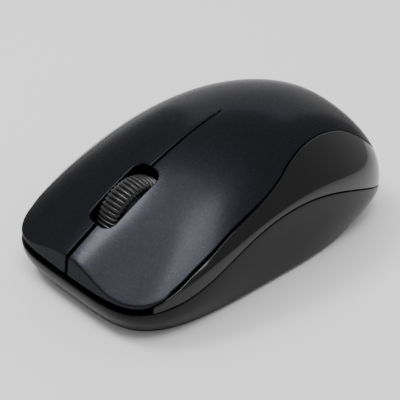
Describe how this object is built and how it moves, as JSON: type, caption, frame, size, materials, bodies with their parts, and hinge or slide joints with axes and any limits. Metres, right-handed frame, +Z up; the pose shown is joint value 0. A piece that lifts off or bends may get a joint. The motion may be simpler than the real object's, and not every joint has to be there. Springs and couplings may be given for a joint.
{
  "type": "computer mouse",
  "caption": "Low domed wireless mouse: metallic top cover with two keys and a ribbed scroll wheel, glossy black side shell and base.",
  "frame": {"origin": "middle of the body's plan at the table surface, under the glide pads", "axes": "+Z up from the table, -Y towards the keys, +X towards the mouse's left side"},
  "size_m": [0.058, 0.1, 0.039],
  "materials": {
    "metallic_cover": "metallic graphite lacquer, satin gloss",
    "gloss_shell": "high gloss black",
    "matt_black": "fine moulded texture",
    "tyre_rubber": "ribbed, matt",
    "grey_acetal": "smooth",
    "white_acetal": "smooth",
    "circuit_board": "solder mask",
    "tin_plate": "bright tin plate",
    "steel": "bright zinc plate",
    "clear_plastic": "clear polycarbonate",
    "red_plastic": "glossy",
    "cell_jacket": "printed foil jacket",
    "glide_pad": "slick PTFE"
  },
  "bodies": {
    "housing": {"base_shell": "gloss_shell", "middle_shell": "gloss_shell", "palm_cover": "metallic_cover", "cradle_pin": "steel", "cradle_spring": "steel", "detent_spring": "steel", "main_board": "circuit_board", "radio_chip": "matt_black", "crystal_can": "tin_plate", "capacitor": "matt_black", "left_switch_body": "matt_black", "right_switch_body": "matt_black", "middle_switch_body": "matt_black", "ir_emitter": "clear_plastic", "ir_detector": "matt_black", "sensor_chip": "matt_black", "sensor_lens": "clear_plastic", "sensor_led": "red_plastic", "led_clip": "matt_black", "power_switch_body": "tin_plate", "aa_cell": "cell_jacket", "contact_positive": "tin_plate", "contact_negative": "tin_plate", "contact_spring": "steel", "lead_positive": "red_plastic", "lead_negative": "matt_black", "receiver_shell": "tin_plate", "receiver_cap": "matt_black", "receiver_tongue": "white_acetal", "foot_front_left": "glide_pad", "foot_front_right": "glide_pad", "foot_rear_left": "glide_pad", "foot_rear_right": "glide_pad", "screw_front_left": "steel", "screw_front_right": "steel", "screw_rear_left": "steel", "screw_rear_right": "steel"},
    "left_key": {"left_button": "metallic_cover"},
    "right_key": {"right_button": "metallic_cover"},
    "left_plunger": {"left_switch_plunger": "white_acetal"},
    "right_plunger": {"right_switch_plunger": "white_acetal"},
    "wheel_carrier": {"wheel_cradle": "matt_black"},
    "scroll_wheel": {"wheel_tyre": "tyre_rubber", "wheel_hub": "grey_acetal"},
    "middle_plunger": {"middle_switch_plunger": "white_acetal"},
    "power_slider": {"power_switch_slider": "white_acetal"},
    "door": {"battery_door": "matt_black"}
  },
  "joints": [
    {"name": "left_click", "type": "hinge", "parent": "housing", "child": "left_key", "pos_m": [0, 0.0024, 0.0372], "axis": [1, 0, 0], "range_deg": [0, 1.05], "stiffness_Nm_per_rad": 1, "springref_deg": -0.69},
    {"name": "right_click", "type": "hinge", "parent": "housing", "child": "right_key", "pos_m": [0, 0.0024, 0.0372], "axis": [1, 0, 0], "range_deg": [0, 1.05], "stiffness_Nm_per_rad": 1, "springref_deg": -0.69},
    {"name": "left_switch_press", "type": "slide", "parent": "housing", "child": "left_plunger", "axis": [0, 0, -1], "range_m": [0, 0.00065]},
    {"name": "right_switch_press", "type": "slide", "parent": "housing", "child": "right_plunger", "axis": [0, 0, -1], "range_m": [0, 0.00065]},
    {"name": "wheel_click", "type": "hinge", "parent": "housing", "child": "wheel_carrier", "pos_m": [0, -0.0388, 0.011], "axis": [-1, 0, 0], "range_deg": [0, 1.2], "stiffness_Nm_per_rad": 1, "springref_deg": -0.69},
    {"name": "middle_switch_press", "type": "slide", "parent": "housing", "child": "middle_plunger", "axis": [0, 0, -1], "range_m": [0, 0.00042]},
    {"name": "wheel_spin", "type": "hinge", "parent": "wheel_carrier", "child": "scroll_wheel", "pos_m": [0, -0.027, 0.0181], "axis": [1, 0, 0], "continuous": true},
    {"name": "power_slide", "type": "slide", "parent": "housing", "child": "power_slider", "axis": [1, 0, 0], "range_m": [0, 0.0025]},
    {"name": "door_hinge", "type": "hinge", "parent": "housing", "child": "door", "pos_m": [0, 0.041, 0.0007], "axis": [1, 0, 0], "range_deg": [0, 70]}
  ],
  "couplings": [
    {"joint": "left_switch_press", "follows": "left_click", "m_per_rad": 0.0353},
    {"joint": "right_switch_press", "follows": "right_click", "m_per_rad": 0.0353},
    {"joint": "middle_switch_press", "follows": "wheel_click", "m_per_rad": 0.0198}
  ]
}
